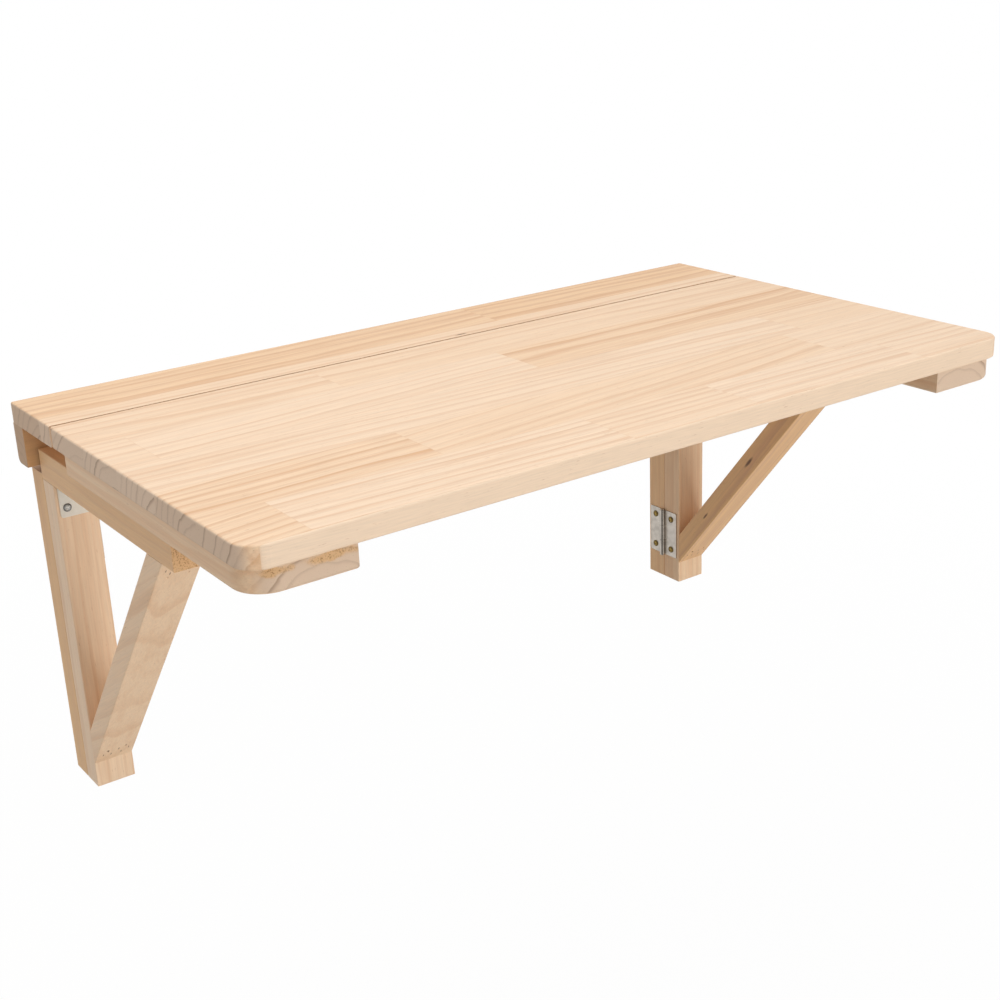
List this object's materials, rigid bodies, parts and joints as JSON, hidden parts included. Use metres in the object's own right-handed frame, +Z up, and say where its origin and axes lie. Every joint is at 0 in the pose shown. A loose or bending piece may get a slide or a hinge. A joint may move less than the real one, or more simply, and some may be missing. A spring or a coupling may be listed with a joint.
{
  "type": "wall mounted drop leaf table",
  "caption": "Pine wall-mounted drop-leaf table with a fixed ledge, a hinged leaf on end battens and swing-out triangular gate brackets.",
  "frame": {"origin": "on the wall plane, at the middle of the back rail's rear face", "axes": "+X along the wall to the right as seen from the room, +Y into the wall, +Z up"},
  "size_m": [0.7, 0.4, 0.3293],
  "materials": {
    "pine_top": "satin",
    "pine_timber": "satin",
    "beech_dowel": "matte",
    "zinc_hinge_plate": "satin",
    "hinge_pin_steel": "satin",
    "yellow_zinc_screw": "gloss",
    "zinc_screw": "gloss",
    "steel_nail": "matte",
    "white_enamel": "satin"
  },
  "bodies": {
    "wall_frame": {"back_rail": "pine_timber", "leaf_hinge_left_ledge_plate": "zinc_hinge_plate", "leaf_hinge_left_pin": "hinge_pin_steel", "leaf_hinge_middle_ledge_plate": "zinc_hinge_plate", "leaf_hinge_middle_pin": "hinge_pin_steel", "leaf_hinge_right_ledge_plate": "zinc_hinge_plate", "leaf_hinge_right_pin": "hinge_pin_steel", "ledge_board": "pine_top", "ledge_dowels": "beech_dowel", "ledge_hinge_screws": "yellow_zinc_screw", "left_lower_hinge_pin": "hinge_pin_steel", "left_lower_hinge_wall_plate": "zinc_hinge_plate", "left_upper_hinge_pin": "hinge_pin_steel", "left_upper_hinge_wall_plate": "zinc_hinge_plate", "left_wall_hinge_screws": "yellow_zinc_screw", "left_wall_post": "pine_timber", "right_lower_hinge_pin": "hinge_pin_steel", "right_lower_hinge_wall_plate": "zinc_hinge_plate", "right_upper_hinge_pin": "hinge_pin_steel", "right_upper_hinge_wall_plate": "zinc_hinge_plate", "right_wall_hinge_screws": "yellow_zinc_screw", "right_wall_post": "pine_timber"},
    "leaf": {"leaf_hinge_left_leaf_plate": "zinc_hinge_plate", "leaf_hinge_middle_leaf_plate": "zinc_hinge_plate", "leaf_hinge_right_leaf_plate": "zinc_hinge_plate", "leaf_hinge_screws": "yellow_zinc_screw", "leaf_panel": "pine_top", "left_batten": "pine_timber", "left_batten_screws": "yellow_zinc_screw", "right_batten": "pine_timber", "right_batten_screws": "yellow_zinc_screw"},
    "left_gate": {"left_brace_nails": "steel_nail", "left_bracket_screws": "zinc_screw", "left_corner_bracket": "white_enamel", "left_gate_brace": "pine_timber", "left_gate_hinge_screws": "yellow_zinc_screw", "left_gate_post": "pine_timber", "left_gate_rail": "pine_timber", "left_lower_hinge_gate_plate": "zinc_hinge_plate", "left_rail_dowel": "beech_dowel", "left_upper_hinge_gate_plate": "zinc_hinge_plate"},
    "right_gate": {"right_brace_nails": "steel_nail", "right_bracket_screws": "zinc_screw", "right_corner_bracket": "white_enamel", "right_gate_brace": "pine_timber", "right_gate_hinge_screws": "yellow_zinc_screw", "right_gate_post": "pine_timber", "right_gate_rail": "pine_timber", "right_lower_hinge_gate_plate": "zinc_hinge_plate", "right_rail_dowel": "beech_dowel", "right_upper_hinge_gate_plate": "zinc_hinge_plate"}
  },
  "joints": [
    {"name": "left_gate_swing", "type": "hinge", "parent": "wall_frame", "child": "left_gate", "pos_m": [-0.3053, -0.02315, -0.15], "axis": [0, 0, 1], "range_deg": [0, 90]},
    {"name": "right_gate_swing", "type": "hinge", "parent": "wall_frame", "child": "right_gate", "pos_m": [0.3053, -0.02315, -0.15], "axis": [0, 0, -1], "range_deg": [0, 90]},
    {"name": "leaf_lift", "type": "hinge", "parent": "wall_frame", "child": "leaf", "pos_m": [0, -0.0852, 0.0138], "axis": [-1, 0, 0], "range_deg": [0, 6]}
  ]
}
